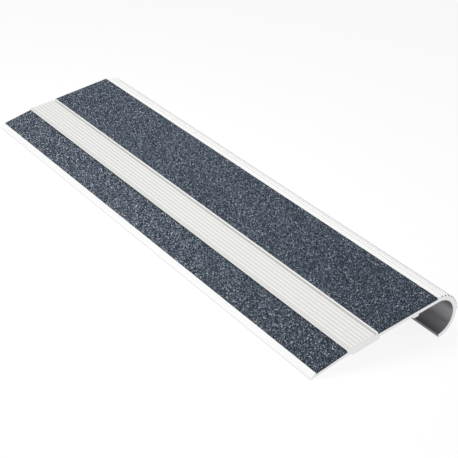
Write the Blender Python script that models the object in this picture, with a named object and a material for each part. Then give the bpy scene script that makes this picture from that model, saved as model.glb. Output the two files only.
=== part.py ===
# Aluminium stair nosing with two poured grit strips, lying unheld on a level floor.
#
# The whole section is drawn flat and extruded once, the way the profile leaves its die. In the
# section, x runs across the strip towards the nose and z is normal to the wide channel. The wide
# channel's rear wall is x = 0 and its floor is z = 0. Each outline goes anticlockwise.

import math

import bmesh
import bpy


def mm(value):
    return value / 1000.0


# Stock
LENGTH = mm(300.0)

# Wide channel, between the ribbed band and the nose
WIDE_CHANNEL_WIDTH = mm(37.0)
WIDE_CHANNEL_DEPTH = mm(1.1)
PLATE_THICKNESS = mm(1.8)

# Ribbed band, from its front rim back to its rear rim
BAND_HEIGHT = mm(1.25)
FRONT_RIM_WIDTH = mm(1.0)
DEEP_GROOVE_WIDTH = mm(0.95)
DEEP_GROOVE_FLOOR = mm(0.2)
RIB_COUNT = 7
RIB_PITCH = mm(2.1)
RIB_CREST_WIDTH = mm(0.9)
RIB_FLANK_WIDTH = mm(0.35)
RIB_DEPTH = mm(0.55)
REAR_RIB_EXTRA = mm(0.3)
FINE_GROOVE_COUNT = 2
FINE_GROOVE_PITCH = mm(1.0)
FINE_GROOVE_WIDTH = mm(0.4)
FINE_GROOVE_DEPTH = mm(0.35)
REAR_RIM_WIDTH = mm(1.1)
REAR_RIM_LEAN = mm(0.6)

# Rear wing, which slopes down to the lip
WING_STEP = mm(0.5)
WING_SLOPE = math.radians(5.85)
NARROW_CHANNEL_WIDTH = mm(18.3)
NARROW_CHANNEL_DEPTH = mm(0.8)
WING_THICKNESS = mm(1.6)
LIP_LEDGE_WIDTH = mm(0.25)
LIP_BEVEL_WIDTH = mm(3.2)
LIP_EDGE_THICKNESS = mm(0.45)
HEEL_WIDTH = mm(3.2)

# Feet, all cut by the plane of the tread that the nosing is fixed to
TREAD_SLOPE = math.radians(0.75)
MIDDLE_FOOT_DEPTH = mm(3.2)
MIDDLE_FOOT_WIDTH = mm(16.4)
MIDDLE_FOOT_FRONT = mm(0.75)
FRONT_FOOT_WIDTH = mm(3.2)
FRONT_FOOT_REAR = mm(21.7)

# Bullnose, a half-round curl with grip grooves on its upper front
NOSE_CENTRE_SETBACK = mm(0.25)
NOSE_INNER_RADIUS = mm(9.9)
NOSE_GROOVE_DEPTH = mm(0.7)
NOSE_GROOVE_WIDTH = mm(0.8)
NOSE_GROOVE_COUNT = 8
NOSE_GROOVE_PITCH = mm(2.33)
NOSE_FIRST_GROOVE = math.radians(78.0)
CURL_END = math.radians(-87.0)

# Grit strips
BOND_GAP = mm(0.3)

# Corner radii of the die
DIE_RADIUS = mm(0.25)
FINE_RADIUS = mm(0.12)
TIP_RADIUS = mm(0.7)

# Facets, and the distance at which a cap meets its sides
CORNER_STEPS = 3
ARC_STEP = math.radians(3.0)
SMOOTH_ANGLE = math.radians(28.0)
WELD_DISTANCE = mm(0.001)

# Sizes that follow
NOSE_CENTRE_X = WIDE_CHANNEL_WIDTH + NOSE_CENTRE_SETBACK
NOSE_CENTRE_Z = -PLATE_THICKNESS - NOSE_INNER_RADIUS
NOSE_CREST_RADIUS = NOSE_INNER_RADIUS + PLATE_THICKNESS + WIDE_CHANNEL_DEPTH
NOSE_SMOOTH_RADIUS = NOSE_CREST_RADIUS - NOSE_GROOVE_DEPTH
FIRST_RIB_X = -FRONT_RIM_WIDTH - DEEP_GROOVE_WIDTH - RIB_FLANK_WIDTH - RIB_CREST_WIDTH / 2
REAR_RIB_EDGE_X = (
    FIRST_RIB_X - (RIB_COUNT - 1) * RIB_PITCH - RIB_CREST_WIDTH / 2 - REAR_RIB_EXTRA
)
REAR_RIM_FRONT_X = (
    REAR_RIB_EDGE_X - (FINE_GROOVE_COUNT - 1) * FINE_GROOVE_PITCH - FINE_GROOVE_WIDTH
)
BAND_REAR_X = REAR_RIM_FRONT_X - REAR_RIM_WIDTH
WING_FRONT_X = BAND_REAR_X + REAR_RIM_LEAN
LIP_WALL_X = WING_FRONT_X - NARROW_CHANNEL_WIDTH
LIP_EDGE_X = LIP_WALL_X - LIP_LEDGE_WIDTH - LIP_BEVEL_WIDTH
MIDDLE_FOOT_REAR = MIDDLE_FOOT_FRONT - MIDDLE_FOOT_WIDTH

ALUMINIUM = {"color": (0.80, 0.81, 0.82), "metallic": 1.0, "roughness": 0.38}
GRIT = {"color": (0.045, 0.055, 0.068), "metallic": 0.0, "roughness": 0.85}


# Height of the tread plane, on which the heel and both feet sit.
def tread_z(x):
    return -MIDDLE_FOOT_DEPTH + math.tan(TREAD_SLOPE) * (x - MIDDLE_FOOT_FRONT)


# Height of the sloping floor of the narrow channel.
def wing_floor_z(x):
    return -WING_STEP + math.tan(WING_SLOPE) * (x - WING_FRONT_X)


def nose_point(radius, angle):
    return (
        NOSE_CENTRE_X + radius * math.cos(angle),
        NOSE_CENTRE_Z + radius * math.sin(angle),
    )


# Points of an arc about the nose centre, as corners without a radius.
def nose_arc(radius, start, end):
    steps = max(1, math.ceil(abs(end - start) / ARC_STEP))
    return [
        (*nose_point(radius, start + (end - start) * i / steps), 0.0)
        for i in range(steps + 1)
    ]


# Turns corners (x, z, radius) into points, each corner rounded by an arc that its sides can hold.
def rounded(corners):
    points = []
    for i, (x, z, radius) in enumerate(corners):
        if radius == 0.0:
            points.append((x, z))
            continue
        sides = []
        for near in (corners[i - 1], corners[(i + 1) % len(corners)]):
            length = math.dist((x, z), near[:2])
            sides.append(((near[0] - x) / length, (near[1] - z) / length, length))
        (ax, az, a_length), (bx, bz, b_length) = sides
        half = math.acos(max(-1.0, min(1.0, ax * bx + az * bz))) / 2
        tangent = min(radius / math.tan(half), 0.45 * a_length, 0.45 * b_length)
        reach = tangent / math.cos(half)
        middle = math.hypot(ax + bx, az + bz)
        centre = (x + (ax + bx) / middle * reach, z + (az + bz) / middle * reach)
        start = math.atan2(z + az * tangent - centre[1], x + ax * tangent - centre[0])
        end = math.atan2(z + bz * tangent - centre[1], x + bx * tangent - centre[0])
        turn = (end - start + math.pi) % math.tau - math.pi
        for step in range(CORNER_STEPS + 1):
            angle = start + turn * step / CORNER_STEPS
            size = tangent * math.tan(half)
            points.append((centre[0] + size * math.cos(angle), centre[1] + size * math.sin(angle)))
    return points


# Underside, from the lip's edge forward to the curl: heel, middle foot, plate and front foot.
def underside_corners():
    heel_front = LIP_EDGE_X + HEEL_WIDTH
    front_foot_front = FRONT_FOOT_REAR + FRONT_FOOT_WIDTH
    return [
        (LIP_EDGE_X, tread_z(LIP_EDGE_X), FINE_RADIUS),
        (heel_front, tread_z(heel_front), FINE_RADIUS),
        (MIDDLE_FOOT_REAR, wing_floor_z(WING_FRONT_X) - WING_THICKNESS, DIE_RADIUS),
        (MIDDLE_FOOT_REAR, tread_z(MIDDLE_FOOT_REAR), DIE_RADIUS),
        (MIDDLE_FOOT_FRONT, tread_z(MIDDLE_FOOT_FRONT), DIE_RADIUS),
        (MIDDLE_FOOT_FRONT, -PLATE_THICKNESS, DIE_RADIUS),
        (FRONT_FOOT_REAR, -PLATE_THICKNESS, DIE_RADIUS),
        (FRONT_FOOT_REAR, tread_z(FRONT_FOOT_REAR), DIE_RADIUS),
        (front_foot_front, tread_z(front_foot_front), DIE_RADIUS),
        (front_foot_front, -PLATE_THICKNESS, DIE_RADIUS),
    ]


# The curl: inner wall down to the tip, smooth outer wall back up, then the grip grooves.
def nose_corners():
    top = math.pi / 2
    corners = nose_arc(NOSE_INNER_RADIUS, top, CURL_END)[:-1]
    corners.append((*nose_point(NOSE_INNER_RADIUS, CURL_END), TIP_RADIUS))
    corners.append((*nose_point(NOSE_SMOOTH_RADIUS, CURL_END), TIP_RADIUS))

    pitch = NOSE_GROOVE_PITCH / NOSE_CREST_RADIUS
    half_width = NOSE_GROOVE_WIDTH / 2 / NOSE_CREST_RADIUS
    centres = [NOSE_FIRST_GROOVE - i * pitch for i in range(NOSE_GROOVE_COUNT)][::-1]
    crest_start = centres[0] - pitch + half_width
    tip_clear = TIP_RADIUS / NOSE_SMOOTH_RADIUS
    corners += nose_arc(NOSE_SMOOTH_RADIUS, CURL_END + 2 * tip_clear, crest_start)[:-1]
    corners.append((*nose_point(NOSE_SMOOTH_RADIUS, crest_start), DIE_RADIUS))
    for centre in centres:
        groove_start = centre - half_width
        groove_end = centre + half_width
        corners.append((*nose_point(NOSE_CREST_RADIUS, crest_start), FINE_RADIUS))
        corners += nose_arc(NOSE_CREST_RADIUS, crest_start, groove_start)[1:-1]
        corners.append((*nose_point(NOSE_CREST_RADIUS, groove_start), FINE_RADIUS))
        corners.append((*nose_point(NOSE_SMOOTH_RADIUS, groove_start), FINE_RADIUS))
        corners.append((*nose_point(NOSE_SMOOTH_RADIUS, groove_end), FINE_RADIUS))
        crest_start = groove_end
    corners.append((*nose_point(NOSE_CREST_RADIUS, crest_start), FINE_RADIUS))
    corners += nose_arc(NOSE_CREST_RADIUS, crest_start, top)[1:]
    corners.append((WIDE_CHANNEL_WIDTH, WIDE_CHANNEL_DEPTH, FINE_RADIUS))
    return corners


# Top of the ribbed band, from the front rim back: deep groove, broad ribs, fine grooves, rear rim.
def band_corners():
    valley = BAND_HEIGHT - RIB_DEPTH
    corners = [
        (0.0, BAND_HEIGHT, FINE_RADIUS),
        (-FRONT_RIM_WIDTH, BAND_HEIGHT, FINE_RADIUS),
        (-FRONT_RIM_WIDTH, DEEP_GROOVE_FLOOR, FINE_RADIUS),
        (-FRONT_RIM_WIDTH - DEEP_GROOVE_WIDTH, DEEP_GROOVE_FLOOR, FINE_RADIUS),
    ]
    for i in range(RIB_COUNT):
        centre = FIRST_RIB_X - i * RIB_PITCH
        front = centre + RIB_CREST_WIDTH / 2
        rear = centre - RIB_CREST_WIDTH / 2
        if i > 0:
            corners.append((front + RIB_FLANK_WIDTH, valley, DIE_RADIUS))
        corners.append((front, BAND_HEIGHT, DIE_RADIUS))
        if i < RIB_COUNT - 1:
            corners.append((rear, BAND_HEIGHT, DIE_RADIUS))
            corners.append((rear - RIB_FLANK_WIDTH, valley, DIE_RADIUS))
    corners.append((REAR_RIB_EDGE_X, BAND_HEIGHT, FINE_RADIUS))
    for i in range(FINE_GROOVE_COUNT):
        front = REAR_RIB_EDGE_X - i * FINE_GROOVE_PITCH
        rear = front - FINE_GROOVE_WIDTH
        if i > 0:
            corners.append((front, BAND_HEIGHT, FINE_RADIUS))
        corners.append(((front + rear) / 2, BAND_HEIGHT - FINE_GROOVE_DEPTH, FINE_RADIUS))
        corners.append((rear, BAND_HEIGHT, FINE_RADIUS))
    corners.append((BAND_REAR_X, BAND_HEIGHT, DIE_RADIUS))
    return corners


# The rear wing's upper side and the bevelled lip.
def wing_corners():
    ledge_z = wing_floor_z(LIP_WALL_X) + NARROW_CHANNEL_DEPTH
    return [
        (WING_FRONT_X, wing_floor_z(WING_FRONT_X), 0.0),
        (LIP_WALL_X, wing_floor_z(LIP_WALL_X), 0.0),
        (LIP_WALL_X, ledge_z, FINE_RADIUS),
        (LIP_WALL_X - LIP_LEDGE_WIDTH, ledge_z, DIE_RADIUS),
        (LIP_EDGE_X, tread_z(LIP_EDGE_X) + LIP_EDGE_THICKNESS, FINE_RADIUS),
    ]


def extrusion_outline():
    floor = [(WIDE_CHANNEL_WIDTH, 0.0, 0.0), (0.0, 0.0, 0.0)]
    return rounded(underside_corners() + nose_corners() + floor + band_corners() + wing_corners())


# The wide strip stands a bond gap off the channel's floor and walls, level with the nose's crown.
def wide_insert_outline():
    rear = BOND_GAP
    front = WIDE_CHANNEL_WIDTH - BOND_GAP
    top = WIDE_CHANNEL_DEPTH
    return [(rear, BOND_GAP), (front, BOND_GAP), (front, top), (rear, top)]


# The narrow strip follows the wing's slope, and its front end leans with the rear rim.
def narrow_insert_outline():
    rear = LIP_WALL_X + BOND_GAP
    rise = BAND_HEIGHT - wing_floor_z(WING_FRONT_X)
    lean = REAR_RIM_LEAN / rise
    front_low = WING_FRONT_X - BOND_GAP - lean * BOND_GAP
    front_high = WING_FRONT_X - BOND_GAP - lean * NARROW_CHANNEL_DEPTH
    return [
        (rear, wing_floor_z(rear) + BOND_GAP),
        (front_low, wing_floor_z(front_low) + BOND_GAP),
        (front_high, wing_floor_z(front_high) + NARROW_CHANNEL_DEPTH),
        (rear, wing_floor_z(rear) + NARROW_CHANNEL_DEPTH),
    ]


# Angle that turns the section nose up until it rests on the longest edge of its lower hull,
# which runs from the lip to the tip of the curl.
def resting_tilt(outline):
    hull = []
    for point in sorted(outline):
        while len(hull) > 1 and turns_right(hull[-2], hull[-1], point):
            hull.pop()
        hull.append(point)
    start, end = max(zip(hull, hull[1:]), key=lambda edge: math.dist(*edge))
    return math.atan2(start[1] - end[1], end[0] - start[0])


def turns_right(a, b, c):
    return (b[0] - a[0]) * (c[1] - a[1]) - (b[1] - a[1]) * (c[0] - a[0]) <= 0


# The frame that lays the tilted section on the floor, centred over the origin.
def resting_frame(outline):
    tilt = resting_tilt(outline)
    across = [x * math.cos(tilt) - z * math.sin(tilt) for x, z in outline]
    height = [x * math.sin(tilt) + z * math.cos(tilt) for x, z in outline]
    frame = bpy.data.objects.new("resting_frame", None)
    frame.location = (-(min(across) + max(across)) / 2, 0.0, -min(height))
    frame.rotation_euler = (0.0, -tilt, 0.0)
    return frame


def principled(name, look):
    material = bpy.data.materials.new(name)
    material.use_nodes = True
    shader = material.node_tree.nodes["Principled BSDF"]
    shader.inputs["Base Color"].default_value = (*look["color"], 1.0)
    shader.inputs["Metallic"].default_value = look["metallic"]
    shader.inputs["Roughness"].default_value = look["roughness"]
    return material


# A closed solid of the outline, extruded to the stock length and centred on its middle.
def extruded_piece(name, outline, material, collection, frame):
    curve = bpy.data.curves.new(name, "CURVE")
    curve.dimensions = "2D"
    curve.fill_mode = "BOTH"
    curve.extrude = LENGTH / 2
    spline = curve.splines.new("POLY")
    spline.points.add(len(outline) - 1)
    for point, (x, z) in zip(spline.points, outline):
        point.co = (x, z, 0.0, 1.0)
    spline.use_cyclic_u = True

    drawn = bpy.data.objects.new(name + "_outline", curve)
    collection.objects.link(drawn)
    evaluated = drawn.evaluated_get(bpy.context.evaluated_depsgraph_get())
    mesh = bpy.data.meshes.new_from_object(evaluated)
    bpy.data.objects.remove(drawn)

    welded = bmesh.new()
    welded.from_mesh(mesh)
    bmesh.ops.remove_doubles(welded, verts=welded.verts, dist=WELD_DISTANCE)
    welded.to_mesh(mesh)
    welded.free()
    mesh.name = name
    mesh.materials.clear()
    mesh.materials.append(material)
    mesh.shade_smooth()
    mesh.set_sharp_from_angle(angle=SMOOTH_ANGLE)

    piece = bpy.data.objects.new(name, mesh)
    piece.rotation_euler = (math.pi / 2, 0.0, 0.0)
    piece.parent = frame
    collection.objects.link(piece)
    return piece


def build():
    for existing in list(bpy.data.objects):
        bpy.data.objects.remove(existing)
    collection = bpy.data.collections.new("stair_nosing")
    bpy.context.scene.collection.children.link(collection)

    outline = extrusion_outline()
    frame = resting_frame(outline)
    collection.objects.link(frame)
    aluminium = principled("satin_aluminium", ALUMINIUM)
    grit = principled("slate_grit", GRIT)
    extruded_piece("extrusion", outline, aluminium, collection, frame)
    extruded_piece("wide_grit_insert", wide_insert_outline(), grit, collection, frame)
    extruded_piece("narrow_grit_insert", narrow_insert_outline(), grit, collection, frame)


build()
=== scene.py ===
import math

import bmesh
import bpy
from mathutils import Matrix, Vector


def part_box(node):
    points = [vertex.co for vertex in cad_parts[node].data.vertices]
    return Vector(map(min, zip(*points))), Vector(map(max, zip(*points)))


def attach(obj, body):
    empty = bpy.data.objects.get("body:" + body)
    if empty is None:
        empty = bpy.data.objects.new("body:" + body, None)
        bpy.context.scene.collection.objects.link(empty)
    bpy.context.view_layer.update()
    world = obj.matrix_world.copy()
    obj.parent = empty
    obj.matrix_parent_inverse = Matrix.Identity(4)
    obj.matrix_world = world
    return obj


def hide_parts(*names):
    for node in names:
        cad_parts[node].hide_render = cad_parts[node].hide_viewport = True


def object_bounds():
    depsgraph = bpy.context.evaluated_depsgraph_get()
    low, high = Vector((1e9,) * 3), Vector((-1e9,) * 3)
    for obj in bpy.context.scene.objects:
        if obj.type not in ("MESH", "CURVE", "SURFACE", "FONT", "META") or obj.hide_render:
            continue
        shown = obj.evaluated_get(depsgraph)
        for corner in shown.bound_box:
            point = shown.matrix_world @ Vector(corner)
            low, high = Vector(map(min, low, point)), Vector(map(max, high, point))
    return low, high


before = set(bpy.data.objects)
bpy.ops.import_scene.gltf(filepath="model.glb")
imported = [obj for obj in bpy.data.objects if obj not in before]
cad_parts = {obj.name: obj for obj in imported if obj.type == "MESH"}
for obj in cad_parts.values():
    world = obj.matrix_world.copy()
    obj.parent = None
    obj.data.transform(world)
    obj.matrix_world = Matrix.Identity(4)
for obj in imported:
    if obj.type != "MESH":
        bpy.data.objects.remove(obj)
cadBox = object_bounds()
mm = 0.001
squareOn = 0.9  # least share of a face's normal along an axis, for a sawn end or the bed's top
print("frame loaded: " + ", ".join(sorted(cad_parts)))


# sRGB hex to the linear colour that a shader takes
def hexColour(text):
    parts = [int(text[i : i + 2], 16) / 255 for i in (1, 3, 5)]
    linear = [p / 12.92 if p <= 0.04045 else ((p + 0.055) / 1.055) ** 2.4 for p in parts]
    return (*linear, 1.0)


# adds a node: its inputs go by socket name, or by number from a list, and each takes a value, a
# socket or a node, whose first output in use then feeds it; stops are the (place, hex) pairs of a
# colour ramp, and the rest are the node's own settings
def addNode(tree, kind, inputs=(), stops=(), **settings):
    node = tree.nodes.new(kind)
    for name, value in settings.items():
        setattr(node, name, value)
    named = inputs if isinstance(inputs, dict) else dict(enumerate(inputs))
    for socket, value in named.items():
        if isinstance(value, bpy.types.Node):
            value = next(output for output in value.outputs if output.enabled)
        if isinstance(value, bpy.types.NodeSocket):
            tree.links.new(value, node.inputs[socket])
        else:
            node.inputs[socket].default_value = value
    for i, (place, colour) in enumerate(stops):
        if i >= len(node.color_ramp.elements):
            node.color_ramp.elements.new(place)
        node.color_ramp.elements[i].position = place
        node.color_ramp.elements[i].color = hexColour(colour)
    return node


def newMaterial(name):
    material = bpy.data.materials.new(name)
    material.use_nodes = True
    material.node_tree.nodes.clear()
    return material, material.node_tree


# 1 on the sawn ends of the stock, 0 elsewhere
def sawnEnds(tree):
    normal = addNode(tree, "ShaderNodeTexCoord").outputs["Normal"]
    lengthways = addNode(tree, "ShaderNodeSeparateXYZ", [normal]).outputs["Y"]
    either = addNode(tree, "ShaderNodeMath", [lengthways], operation="ABSOLUTE")
    return addNode(tree, "ShaderNodeMath", [either, squareOn], operation="GREATER_THAN")


camera = {
    "lens": 92.96,  # mm
    "sensor": 36.0,  # mm
    "nearest": 0.01,  # m in front of the camera where the view starts
    "place": (-356.1, -457.8, 287.1),  # mm
    "turn": (63.123, -6.801, -36.146),  # degrees
}


def addCamera():
    data = bpy.data.cameras.new("photoCamera")
    data.lens = camera["lens"]
    data.sensor_width = camera["sensor"]
    data.clip_start = camera["nearest"]
    body = bpy.data.objects.new("photoCamera", data)
    body.location = Vector(camera["place"]) * mm
    body.rotation_euler = [math.radians(angle) for angle in camera["turn"]]
    bpy.context.scene.collection.objects.link(body)
    bpy.context.scene.camera = body


addCamera()
print("camera in place")


# the section's own frame, read off the wide insert: across to the nose, up from the channel's
# floor, with its zero where the ribbed band's front wall meets that floor
def sectionCorners(node):
    points = {(round(v.co.x, 6), round(v.co.z, 6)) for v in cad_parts[node].data.vertices}
    middle = [sum(p[i] for p in points) / len(points) for i in (0, 1)]
    turned = sorted(points, key=lambda p: math.atan2(p[1] - middle[1], p[0] - middle[0]))
    return [Vector(p) for p in turned]  # rear top, rear low, front low, front top


solidGap = 0.3 * mm  # what each insert's solid keeps from its channel
rearTop, rearLow, frontLow, frontTop = sectionCorners("wide_grit_insert")
across = (frontTop - rearTop).normalized()
upward = Vector((-across.y, across.x))
sectionTilt = math.atan2(across.y, across.x)
sectionZero = rearLow - (across + upward) * solidGap


studio = {
    "ambient": 0.45,  # what the room alone gives a matt surface
    # what the camera and the metal see of the room, and of a soft brighter band in it
    "background": (1.0, 1.055),
    "bandAt": 0.7,  # along y, of a ray's direction
    "bandHalf": 0.14,  # the band's half width, along y too
    "floorColour": "#6c6c6c",
    "floorGlow": 0.86,  # lifts the floor to white and leaves a faint shadow on it
    "glowFade": 0.04,  # m inside the footprint's edge, over which the glow fades away
    "glowReach": 0.025,  # m further in that the camera still sees it
    "floorSize": 8.0,  # m
    # name, place in m, watts and side length in m, each aimed at the middle of the floor
    "lamps": [
        ("keyLamp", (-0.16, 0.03, 0.27), 1.0, 0.3),
        ("fillLamp", (0.9, -1.7, 1.5), 8.0, 2.4),
    ],
}


# 1 for the rays that show the background itself
def backgroundRays(tree):
    path = addNode(tree, "ShaderNodeLightPath").outputs
    shown = path["Is Camera Ray"]
    for name in ("Is Glossy Ray", "Is Transmission Ray"):
        shown = addNode(tree, "ShaderNodeMath", [shown, path[name]], operation="MAXIMUM")
    return shown


def addRoom():
    world = bpy.data.worlds.new("paleRoom")
    bpy.context.scene.world = world
    world.use_nodes = True
    tree = world.node_tree
    tree.nodes.clear()
    ray = addNode(tree, "ShaderNodeTexCoord").outputs["Generated"]
    along = addNode(tree, "ShaderNodeSeparateXYZ", [ray]).outputs["Y"]
    offset = addNode(tree, "ShaderNodeMath", [along, studio["bandAt"]], operation="SUBTRACT")
    distance = addNode(tree, "ShaderNodeMath", [offset], operation="ABSOLUTE")
    span = [studio["bandHalf"], 0.0, *studio["background"]]
    background = addNode(tree, "ShaderNodeMapRange", [distance, *span])
    limits = {"To Min": studio["ambient"], "To Max": background}
    strength = addNode(tree, "ShaderNodeMapRange", {"Value": backgroundRays(tree), **limits})
    white = (1.0, 1.0, 1.0, 1.0)
    light = addNode(tree, "ShaderNodeBackground", {"Color": white, "Strength": strength})
    addNode(tree, "ShaderNodeOutputWorld", {"Surface": light})


def addLamps():
    for name, place, watts, side in studio["lamps"]:
        data = bpy.data.lights.new(name, "AREA")
        data.energy = watts
        data.size = side
        lamp = bpy.data.objects.new(name, data)
        lamp.visible_camera = False
        lamp.visible_glossy = False  # the metal mirrors the pale room, never a lamp
        lamp.location = place
        lamp.rotation_euler = Vector(place).to_track_quat("Z", "Y").to_euler()
        bpy.context.scene.collection.objects.link(lamp)


# White painted board: matt, with a glow of its own that ends some way in under the stock, so
# that the tunnel under the curl stays as dark as it is on a real floor
def paintedBoard():
    material, tree = newMaterial("paintedBoard")
    place = addNode(tree, "ShaderNodeTexCoord").outputs["Object"]
    at = addNode(tree, "ShaderNodeSeparateXYZ", [place]).outputs
    low, high = cadBox
    seen = addNode(tree, "ShaderNodeLightPath").outputs["Is Camera Ray"]
    reach = addNode(tree, "ShaderNodeMath", [seen, studio["glowReach"]], operation="MULTIPLY")
    outside = 0.0
    for axis, half in (("X", (high.x - low.x) / 2), ("Y", (high.y - low.y) / 2)):
        far = addNode(tree, "ShaderNodeMath", [at[axis]], operation="ABSOLUTE")
        further = addNode(tree, "ShaderNodeMath", [far, reach])
        fade = [further, half - studio["glowFade"], half]
        edge = addNode(tree, "ShaderNodeMapRange", fade)
        outside = addNode(tree, "ShaderNodeMath", [outside, edge], operation="MAXIMUM")
    shown = [backgroundRays(tree), outside]
    glow = addNode(tree, "ShaderNodeMath", shown, operation="MULTIPLY")
    strength = addNode(tree, "ShaderNodeMath", [glow, studio["floorGlow"]], operation="MULTIPLY")
    light = addNode(tree, "ShaderNodeEmission", {"Strength": strength})
    paint = addNode(tree, "ShaderNodeBsdfDiffuse", {"Color": hexColour(studio["floorColour"])})
    both = addNode(tree, "ShaderNodeAddShader", [paint, light])
    addNode(tree, "ShaderNodeOutputMaterial", {"Surface": both})
    return material


def addFloor():
    shape = bmesh.new()
    bmesh.ops.create_grid(shape, x_segments=1, y_segments=1, size=studio["floorSize"] / 2)
    mesh = bpy.data.meshes.new("floor")
    shape.to_mesh(mesh)
    shape.free()
    mesh.materials.append(paintedBoard())
    floor = bpy.data.objects.new("floor", mesh)
    bpy.context.scene.collection.objects.link(floor)


addRoom()
addLamps()
addFloor()
print("room, lamps and floor in place")


aluminium = {
    "colour": "#f7f7f6",
    "dullColour": "#f3f3f2",
    "lipColour": "#f9f9f9",
    # painted shade: a grey line along the lip's thin rear edge
    "paintedLipEdgeShade": "#e6e6e8",
    "bandColour": "#eeeeec",
    "rimColour": "#e3e3e1",
    "noseColour": "#f9f9f8",
    "gripColour": "#f9f9f8",
    # painted shade down the front of the nose, which turns it greyer
    "paintedFrontShade": "#e3e3e3",
    # painted shade down in the grooves of the ribbed band and of the nose's front
    "paintedGrooveShade": "#e0e0de",
    # painted shade, dark, in the grip grooves at the near end
    "paintedGrooveEndShade": "#77777a",
    # painted shade and reflection: the cut ends a little greyer and bluish
    "paintedEndShade": "#e3e3e5",
    # painted shade on the inside of the curl
    "paintedCurlShade": "#acacb0",
    # darker painted shade on the curl's tip
    "paintedTipShade": "#7a7a7e",
    "roughness": (0.16, 0.22),  # where the satin is at its brightest and at its dullest
    "innerRoughness": 0.4,
    "dieLineSpacing": 0.35,  # mm between the faint lines that the die leaves along the stock
    "dieLineLength": 60.0,  # mm over which such a line comes and goes
    "dieLineDepth": 0.002,  # mm
    "sawMarkSpacing": 0.5,  # mm between the marks of the saw on both ends
    "sawMarkSlimness": 0.06,  # a mark's height as a share of its length across the section
    "sawMarkDepth": 0.008,  # mm
    "patchSize": 25.0,  # mm across the soft patches where the satin is a little duller
    "dullStops": (0.35, 0.55),  # wear at which the colour is all dull, and all bright
    "dullRange": (0.3, 0.7),  # wear between which the roughness goes from dull to bright
    "lipReach": -36.3,  # mm across, the lip lies behind it
    "lipEdgeReach": -39.5,  # mm, and its thin rear edge behind this
    "bandTop": 1.25,  # mm, crest of the ribs over the channel's floor
    "bandDepth": 0.6,  # mm down to where the painted shade in the grooves is at its darkest
    "bandReach": (-18.5, -0.1),  # mm, the stretch across the section that holds the ribs
    "rimReach": (-18.5, -15.9),  # mm, the rear rim with its two fine grooves
    "noseCentre": (37.25, -11.7),  # mm, across and up
    "noseStart": 1.5,  # mm past the centre, where the nose's own tints start
    "noseCrest": 12.8,  # mm, radius over the grip grooves
    "crestMargin": 0.1,  # mm under the crest that still counts as crest
    "gripDepth": 0.7,  # mm
    "gripLowest": -12.5,  # mm, height of the lowest grip groove's edge
    "frontFade": (-0.4, -1.4),  # mm, heights between which the painted shade down the front of the nose sets in
    "innerRadius": 9.9,  # mm, of the curl's inside
    "innerMargin": 0.5,  # mm past that radius that still counts as inside
    "tipTop": -20.0,  # mm, the curl's tip lies below this height
    "tipReach": 0.9,  # mm past the centre
    "grooveEndShadeLength": 0.7,  # mm from the near end, over which the grip grooves get painted shade
    "grooveEndShadeFade": (1.0, 0.2),  # mm, heights between which that sets in, going down the front
    "grooveEndShadeDip": 0.25,  # share of a groove's depth below which it gets that painted shade
}
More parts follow.
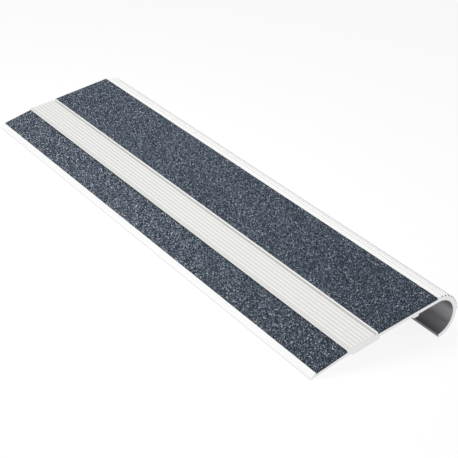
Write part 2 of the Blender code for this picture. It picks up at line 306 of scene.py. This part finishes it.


# Extruded aluminium, etched to satin: near white on the lip and the nose, duller on the ribbed
# band, with faint lines along its length from the die and straight saw marks on both cut ends;
# painted shade darkens every groove, the lip's rear edge, the nose's front, the curl's inside
# and tip, and the grip grooves at the near end, and painted shade and reflection grey the cut ends
def satinAluminium():
    material, tree = newMaterial("satinAluminium")
    look = aluminium

    place = addNode(tree, "ShaderNodeTexCoord").outputs["Object"]
    cutEnd = sawnEnds(tree)
    placing = {
        "Location": (sectionZero.x, 0.0, sectionZero.y),
        "Rotation": (0.0, -sectionTilt, 0.0),
        "Scale": (mm, mm, mm),
    }
    # from here on X is mm across the section, Y mm along the stock and Z mm up the section
    inSection = {"Vector": place, **placing}
    section = addNode(tree, "ShaderNodeMapping", inSection, vector_type="TEXTURE")
    at = addNode(tree, "ShaderNodeSeparateXYZ", [section]).outputs

    # the lip, and its thin rear edge, which carries a painted shade line
    lip = addNode(tree, "ShaderNodeMath", [at["X"], look["lipReach"]], operation="LESS_THAN")
    edge = [at["X"], look["lipEdgeReach"]]
    lipEdge = addNode(tree, "ShaderNodeMath", edge, operation="LESS_THAN")

    # the ribbed band and its rear rim, and how deep a point lies in the band's grooves
    above = addNode(tree, "ShaderNodeMath", [at["Z"], 0.0], operation="GREATER_THAN")
    reaches = []
    for rear, front in (look["bandReach"], look["rimReach"]):
        span = [at["X"], (front + rear) / 2, (front - rear) / 2]
        within = addNode(tree, "ShaderNodeMath", span, operation="COMPARE")
        reaches.append(addNode(tree, "ShaderNodeMath", [within, above], operation="MULTIPLY"))
    band, rim = reaches
    # painted shade in the band's grooves, darker the deeper a point lies
    top, bottom = look["bandTop"], look["bandTop"] - look["bandDepth"]
    deep = addNode(tree, "ShaderNodeMapRange", [at["Z"], top, bottom])
    groove = addNode(tree, "ShaderNodeMath", [deep, band], operation="MULTIPLY")

    # the inside of the curl, and how deep a point lies in the grip grooves over it
    centreX, centreZ = look["noseCentre"]
    flat = addNode(tree, "ShaderNodeCombineXYZ", [at["X"], 0.0, at["Z"]])
    centre = [flat, (centreX, 0.0, centreZ)]
    radius = addNode(tree, "ShaderNodeVectorMath", centre, operation="DISTANCE").outputs["Value"]
    innerEnd = look["innerRadius"] + look["innerMargin"]
    hollow = addNode(tree, "ShaderNodeMath", [radius, innerEnd], operation="LESS_THAN")
    low = addNode(tree, "ShaderNodeMath", [at["Z"], look["tipTop"]], operation="LESS_THAN")
    tipFront = centreX + look["tipReach"]
    behind = addNode(tree, "ShaderNodeMath", [at["X"], tipFront], operation="LESS_THAN")
    tip = addNode(tree, "ShaderNodeMath", [behind, low], operation="MULTIPLY")
    # the curl's inside and its tip both get painted shade, the tip the darker one
    inner = addNode(tree, "ShaderNodeMath", [hollow, tip], operation="MAXIMUM")
    crest = look["noseCrest"]
    depths = [crest - look["crestMargin"], crest - look["gripDepth"]]
    dip = addNode(tree, "ShaderNodeMapRange", [radius, *depths])
    noseRear = centreX + look["noseStart"]
    past = addNode(tree, "ShaderNodeMath", [at["X"], noseRear], operation="GREATER_THAN")
    over = addNode(tree, "ShaderNodeMath", [at["Z"], look["gripLowest"]], operation="GREATER_THAN")
    outer = addNode(tree, "ShaderNodeMath", [1.0, inner], operation="SUBTRACT")
    grip = dip
    for mask in (past, over, outer):
        grip = addNode(tree, "ShaderNodeMath", [grip, mask], operation="MULTIPLY")
    # painted shade down the nose's front, and in its grip grooves
    front = addNode(tree, "ShaderNodeMapRange", [at["Z"], *look["frontFade"]])
    for mask in (past, outer):
        front = addNode(tree, "ShaderNodeMath", [front, mask], operation="MULTIPLY")
    nose = addNode(tree, "ShaderNodeMath", [past, outer], operation="MULTIPLY")
    frontGroove = addNode(tree, "ShaderNodeMath", [front, grip], operation="MULTIPLY")

    # painted shade in the grip grooves where they start at the near end
    nearShadeEnd = cadBox[0].y / mm + look["grooveEndShadeLength"]
    nearEnd = addNode(tree, "ShaderNodeMath", [at["Y"], nearShadeEnd], operation="LESS_THAN")
    turned = addNode(tree, "ShaderNodeMapRange", [at["Z"], *look["grooveEndShadeFade"]])
    grooveEndShade = addNode(tree, "ShaderNodeMath", [grip, look["grooveEndShadeDip"]], operation="GREATER_THAN")
    for mask in (nearEnd, turned):
        grooveEndShade = addNode(tree, "ShaderNodeMath", [grooveEndShade, mask], operation="MULTIPLY")

    # die lines along the stock, saw marks across its ends and soft patches over all of it, which
    # count for half of the wear
    fine = 1 / (look["dieLineSpacing"] * mm)
    stretch = (fine, 1 / (look["dieLineLength"] * mm), fine)
    streaked = addNode(tree, "ShaderNodeMapping", {"Vector": place, "Scale": stretch})
    drawn = {"Vector": streaked, "Scale": 1.0, "Detail": 3.0}
    dieLines = addNode(tree, "ShaderNodeTexNoise", drawn)
    coarse = 1 / (look["sawMarkSpacing"] * mm)
    wide = coarse * look["sawMarkSlimness"]
    stroke = addNode(tree, "ShaderNodeMapping", {"Vector": place, "Scale": (wide, wide, coarse)})
    sawMarks = addNode(tree, "ShaderNodeTexNoise", {"Vector": stroke, "Scale": 1.0, "Detail": 2.0})
    cloud = {"Vector": place, "Scale": 1 / (look["patchSize"] * mm), "Detail": 2.0}
    patches = addNode(tree, "ShaderNodeTexNoise", cloud)
    pattern = addNode(tree, "ShaderNodeMix", {"Factor": cutEnd, "A": dieLines, "B": sawMarks})
    wear = addNode(tree, "ShaderNodeMix", {"Factor": 0.5, "A": pattern, "B": patches})

    # each tint lies over the ones before it
    stops = list(zip(look["dullStops"], (look["dullColour"], look["colour"])))
    colour = addNode(tree, "ShaderNodeValToRGB", {"Fac": wear}, stops)
    for mask, tint in (
        (lip, "lipColour"),
        (lipEdge, "paintedLipEdgeShade"),
        (band, "bandColour"),
        (rim, "rimColour"),
        (groove, "paintedGrooveShade"),
        (nose, "noseColour"),
        (grip, "gripColour"),
        (front, "paintedFrontShade"),
        (frontGroove, "paintedGrooveShade"),
        (grooveEndShade, "paintedGrooveEndShade"),
        (inner, "paintedCurlShade"),
        (tip, "paintedTipShade"),
        (cutEnd, "paintedEndShade"),
    ):
        mixed = {"Factor": mask, 6: colour, 7: hexColour(look[tint])}
        colour = addNode(tree, "ShaderNodeMix", mixed, data_type="RGBA").outputs[2]
    bright, dull = look["roughness"]
    satin = addNode(tree, "ShaderNodeMapRange", [wear, *look["dullRange"], dull, bright])
    unpolished = {"Factor": inner, "A": satin, "B": look["innerRoughness"]}
    roughness = addNode(tree, "ShaderNodeMix", unpolished)
    marks = {"A": look["dieLineDepth"] * mm, "B": look["sawMarkDepth"] * mm}
    depth = addNode(tree, "ShaderNodeMix", {"Factor": cutEnd, **marks})
    relief = addNode(tree, "ShaderNodeBump", {"Height": pattern, "Distance": depth})
    finish = {"Base Color": colour, "Metallic": 1.0, "Roughness": roughness, "Normal": relief}
    shader = addNode(tree, "ShaderNodeBsdfPrincipled", finish)
    addNode(tree, "ShaderNodeOutputMaterial", {"Surface": shader})
    return material


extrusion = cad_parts["extrusion"]
extrusion.data.materials.clear()
extrusion.data.materials.append(satinAluminium())
print("extrusion finished")


grit = {
    # a grain's colour by its tone, which differs at random, from the darkest to the few palest
    # that are painted near white as glints
    "tones": [
        (0.00, "#1e2831"),
        (0.30, "#5f6d7c"),
        (0.70, "#96a2b4"),
        (0.86, "#ced5e3"),
        (1.00, "#ffffff"),
    ],
    "sand": [(0.10, "#3a4551"), (0.70, "#131920")],  # from a sand grain's middle to its edge
    "sawn": [(0.15, "#8e9baa"), (0.75, "#28323d")],  # the same mix cut through at both ends
    "grainRoughness": 0.45,
    "grainSpecular": 0.35,
    "resinRoughness": 0.8,
    "resinSpecular": 0.15,
    "grainSpacing": 0.31,  # mm, least distance between two grains
    "grainSize": (0.2, 0.37),  # mm, from a grain's foot to its corners
    "grainRise": (-0.14, 0.03),  # mm from the resin's top to a grain's foot
    "grainJitter": 0.08,  # mm that each corner of a grain is off its regular place
    "grainHeight": 1.4,  # times the radius of its foot
    "grainStretch": (0.75, 1.15),  # times its size, at random and in each direction by itself
    "grainDensity": 1e7,  # tries to the square metre, more than the spacing lets through
    "chipDepth": 0.05,  # mm, chips on a grain's faces
    "chipStrength": 0.6,
    "wallGap": 0.02,  # mm between the resin and the channel, and short of the sawn ends
    "resinDrop": 0.12,  # mm from the solid's top down to the resin
    "sandSize": 0.25,  # mm, the finest sand between the grains
    "sandDepth": 0.08,  # mm
    "sandStrength": 0.8,
    # strip, the node that it replaces, its seed, and its grains' darkest and palest tone
    "strips": [
        ("wideGritStrip", "wide_grit_insert", 3, (0.05, 0.93)),
        ("narrowGritStrip", "narrow_grit_insert", 8, (0.14, 1.0)),
    ],
}


# Silicon carbide grit: dark slate crystals of tones that differ at random, a few painted near
# white as glints
def siliconCarbide():
    material, tree = newMaterial("siliconCarbideGrit")
    tone = addNode(tree, "ShaderNodeAttribute", attribute_name="grainTone").outputs["Fac"]
    colour = addNode(tree, "ShaderNodeValToRGB", {"Fac": tone}, grit["tones"])
    place = addNode(tree, "ShaderNodeTexCoord").outputs["Object"]
    fine = 1 / (grit["sandSize"] * mm)
    chips = addNode(tree, "ShaderNodeTexNoise", {"Vector": place, "Scale": fine, "Detail": 2.0})
    chipped = {"Distance": grit["chipDepth"] * mm, "Strength": grit["chipStrength"]}
    relief = addNode(tree, "ShaderNodeBump", {"Height": chips, **chipped})
    gloss = {"Roughness": grit["grainRoughness"], "Specular IOR Level": grit["grainSpecular"]}
    finish = {"Base Color": colour, "Normal": relief, **gloss}
    shader = addNode(tree, "ShaderNodeBsdfPrincipled", finish)
    addNode(tree, "ShaderNodeOutputMaterial", {"Surface": shader})
    return material


# Epoxy resin filled with fine sand: nearly black between the grains, and speckled on the sawn
# ends, where grains and resin are cut through together
def sandedResin():
    material, tree = newMaterial("sandedResin")
    place = addNode(tree, "ShaderNodeTexCoord").outputs["Object"]
    fine = 1 / (grit["sandSize"] * mm)
    sand = addNode(tree, "ShaderNodeTexVoronoi", {"Vector": place, "Scale": fine})
    sandy = addNode(tree, "ShaderNodeValToRGB", {"Fac": sand}, grit["sand"])
    coarse = 1 / (grit["grainSpacing"] * mm)
    cutGrains = addNode(tree, "ShaderNodeTexVoronoi", {"Vector": place, "Scale": coarse})
    sawn = addNode(tree, "ShaderNodeValToRGB", {"Fac": cutGrains}, grit["sawn"])
    mixed = {"Factor": sawnEnds(tree), 6: sandy, 7: sawn}
    colour = addNode(tree, "ShaderNodeMix", mixed, data_type="RGBA").outputs[2]
    grained = {"Distance": grit["sandDepth"] * mm, "Strength": grit["sandStrength"]}
    relief = addNode(tree, "ShaderNodeBump", {"Height": sand, **grained}, invert=True)
    gloss = {"Roughness": grit["resinRoughness"], "Specular IOR Level": grit["resinSpecular"]}
    finish = {"Base Color": colour, "Normal": relief, **gloss}
    shader = addNode(tree, "ShaderNodeBsdfPrincipled", finish)
    addNode(tree, "ShaderNodeOutputMaterial", {"Surface": shader})
    return material


# the resin fills its channel from wall to wall, a little lower than the rims
def resinBed(node):
    rearTop, rearLow, frontLow, frontTop = sectionCorners(node)
    across = (frontTop - rearTop).normalized()
    up = Vector((-across.y, across.x))
    grow = solidGap - grit["wallGap"] * mm
    drop = up * grit["resinDrop"] * mm
    rear = (rearLow - (across + up) * grow, rearTop - across * grow - drop)
    front = (frontLow + (across - up) * grow, frontTop + across * grow - drop)
    low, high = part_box(node)
    ends = (low.y + grit["wallGap"] * mm, high.y - grit["wallGap"] * mm)
    shape = bmesh.new()
    bmesh.ops.create_cube(shape)
    for vertex in shape.verts:
        isFront, isFar, isTop = (place > 0 for place in vertex.co)
        corner = (rear, front)[isFront][isTop]
        vertex.co = (corner.x, ends[isFar], corner.y)
    mesh = bpy.data.meshes.new(node + "Bed")
    shape.to_mesh(mesh)
    shape.free()
    return mesh, Vector((up.x, 0.0, up.y)), high.y


# Geometry Nodes: grains scattered over the bed's top, each one its own irregular crystal
def grainScatter(grainMaterial, resinMaterial):
    tree = bpy.data.node_groups.new("grainScatter", "GeometryNodeTree")
    sockets = {
        "Bed": "NodeSocketGeometry",
        "Up": "NodeSocketVector",
        "Half Length": "NodeSocketFloat",
        "Spacing": "NodeSocketFloat",
        "Small Grain": "NodeSocketFloat",
        "Large Grain": "NodeSocketFloat",
        "Lowest": "NodeSocketFloat",
        "Highest": "NodeSocketFloat",
        "Jitter": "NodeSocketFloat",
        "Darkest": "NodeSocketFloat",
        "Palest": "NodeSocketFloat",
        "Seed": "NodeSocketInt",
    }
    for name, kind in sockets.items():
        tree.interface.new_socket(name, in_out="INPUT", socket_type=kind)
    tree.interface.new_socket("Strip", in_out="OUTPUT", socket_type="NodeSocketGeometry")
    given = addNode(tree, "NodeGroupInput").outputs
    # a Random Value node's sockets: vector 0 and 1, number 2 and 3, what it is drawn for 7, seed 8
    seeds = [addNode(tree, "FunctionNodeIntegerMath", [given["Seed"], i]) for i in range(1, 7)]

    normal = addNode(tree, "GeometryNodeInputNormal")
    both = [normal, given["Up"]]
    facing = addNode(tree, "ShaderNodeVectorMath", both, operation="DOT_PRODUCT").outputs["Value"]
    top = addNode(tree, "FunctionNodeCompare", [facing, squareOn], operation="GREATER_THAN")
    spread = {
        "Mesh": given["Bed"],
        "Selection": top,
        "Distance Min": given["Spacing"],
        "Density Max": grit["grainDensity"],
        "Seed": given["Seed"],
    }
    scattered = addNode(
        tree, "GeometryNodeDistributePointsOnFaces", spread, distribute_method="POISSON"
    )
    heights = {2: given["Lowest"], 3: given["Highest"], 8: seeds[0]}
    height = addNode(tree, "FunctionNodeRandomValue", heights)
    lift = {0: given["Up"], "Scale": height}
    rise = addNode(tree, "ShaderNodeVectorMath", lift, operation="SCALE")
    seated = addNode(tree, "GeometryNodeSetPosition", {"Geometry": scattered, "Offset": rise})

    foot = {"Vertices": 3, "Radius Top": 0.0, "Radius Bottom": 1.0}
    crystal = addNode(tree, "GeometryNodeMeshCone", {**foot, "Depth": grit["grainHeight"]})
    flat = {"Geometry": crystal, "Shade Smooth": False}
    faceted = addNode(tree, "GeometryNodeSetShadeSmooth", flat)
    sizes = {2: given["Small Grain"], 3: given["Large Grain"], 8: seeds[1]}
    size = addNode(tree, "FunctionNodeRandomValue", sizes)
    least, most = grit["grainStretch"]
    shapes = {0: (least, least, least), 1: (most, most, most), 8: seeds[2]}
    shape = addNode(tree, "FunctionNodeRandomValue", shapes, data_type="FLOAT_VECTOR")
    scale = addNode(tree, "ShaderNodeVectorMath", {0: shape, "Scale": size}, operation="SCALE")
    turns = {0: (0.0, 0.0, 0.0), 1: (math.tau, math.tau, math.tau), 8: seeds[3]}
    turn = addNode(tree, "FunctionNodeRandomValue", turns, data_type="FLOAT_VECTOR")
    pose = {"Rotation": turn, "Scale": scale}
    grains = {"Points": seated, "Instance": faceted, **pose}
    placed = addNode(tree, "GeometryNodeInstanceOnPoints", grains)
    tones = {2: given["Darkest"], 3: given["Palest"], 8: seeds[4]}
    tone = addNode(tree, "FunctionNodeRandomValue", tones)
    kept = {"Geometry": placed, "Name": "grainTone", "Value": tone}
    toned = addNode(tree, "GeometryNodeStoreNamedAttribute", kept, domain="INSTANCE")
    resin = {"Geometry": given["Bed"], "Material": resinMaterial}
    bedded = addNode(tree, "GeometryNodeSetMaterial", resin)
    joined = addNode(tree, "GeometryNodeJoinGeometry", {"Geometry": bedded})
    tree.links.new(toned.outputs["Geometry"], joined.inputs["Geometry"])
    real = addNode(tree, "GeometryNodeRealizeInstances", {"Geometry": joined})

    # every corner of a grain moves a little, and both ends are sawn off with the stock; only
    # the grains have a tone, so the bed's is 0
    stored = addNode(tree, "GeometryNodeInputNamedAttribute", {"Name": "grainTone"})
    isGrain = addNode(tree, "FunctionNodeCompare", [stored, 0.0], operation="GREATER_THAN")
    corner = addNode(tree, "GeometryNodeInputIndex")
    shifts = {0: (-1.0, -1.0, -1.0), 1: (1.0, 1.0, 1.0), 7: corner, 8: seeds[5]}
    shift = addNode(tree, "FunctionNodeRandomValue", shifts, data_type="FLOAT_VECTOR")
    nudge = {0: shift, "Scale": given["Jitter"]}
    jitter = addNode(tree, "ShaderNodeVectorMath", nudge, operation="SCALE")
    moved = {"Geometry": real, "Selection": isGrain, "Offset": jitter}
    rough = addNode(tree, "GeometryNodeSetPosition", moved)
    position = addNode(tree, "GeometryNodeInputPosition")
    at = addNode(tree, "ShaderNodeSeparateXYZ", [position]).outputs
    farEnd = given["Half Length"]
    nearEnd = addNode(tree, "ShaderNodeMath", [farEnd, -1.0], operation="MULTIPLY")
    sawn = addNode(tree, "ShaderNodeClamp", {"Value": at["Y"], "Min": nearEnd, "Max": farEnd})
    trimmed = addNode(tree, "ShaderNodeCombineXYZ", {"X": at["X"], "Y": sawn, "Z": at["Z"]})
    cut = addNode(tree, "GeometryNodeSetPosition", {"Geometry": rough, "Position": trimmed})
    dressed = {"Geometry": cut, "Selection": isGrain, "Material": grainMaterial}
    strip = addNode(tree, "GeometryNodeSetMaterial", dressed)
    addNode(tree, "NodeGroupOutput", {"Strip": strip})
    return tree


def addStrip(name, node, seed, tones, tree):
    mesh, up, halfLength = resinBed(node)
    bed = bpy.data.objects.new(name + "Bed", mesh)
    bpy.context.scene.collection.objects.link(bed)
    modifier = bed.modifiers.new("grains", "NODES")
    modifier.node_group = tree
    values = {
        "Up": up,
        "Half Length": halfLength,
        "Spacing": grit["grainSpacing"] * mm,
        "Small Grain": grit["grainSize"][0] * mm,
        "Large Grain": grit["grainSize"][1] * mm,
        "Lowest": grit["grainRise"][0] * mm,
        "Highest": grit["grainRise"][1] * mm,
        "Jitter": grit["grainJitter"] * mm,
        "Darkest": tones[0],
        "Palest": tones[1],
        "Seed": seed,
    }
    for item in tree.interface.items_tree:
        if item.in_out == "INPUT" and item.name in values:
            modifier[item.identifier] = values[item.name]
    evaluated = bed.evaluated_get(bpy.context.evaluated_depsgraph_get())
    grown = bpy.data.meshes.new_from_object(evaluated)
    grown.name = name
    bpy.data.objects.remove(bed)
    strip = bpy.data.objects.new(name, grown)
    bpy.context.scene.collection.objects.link(strip)
    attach(strip, "root")
    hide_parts(node)
    triangles = sum(len(face.vertices) - 2 for face in grown.polygons)
    print(name + ": " + str(triangles) + " triangles")


scatterTree = grainScatter(siliconCarbide(), sandedResin())
for name, node, seed, tones in grit["strips"]:
    addStrip(name, node, seed, tones, scatterTree)
print("grit strips laid")


bpy.context.scene.view_settings.view_transform = "Standard"
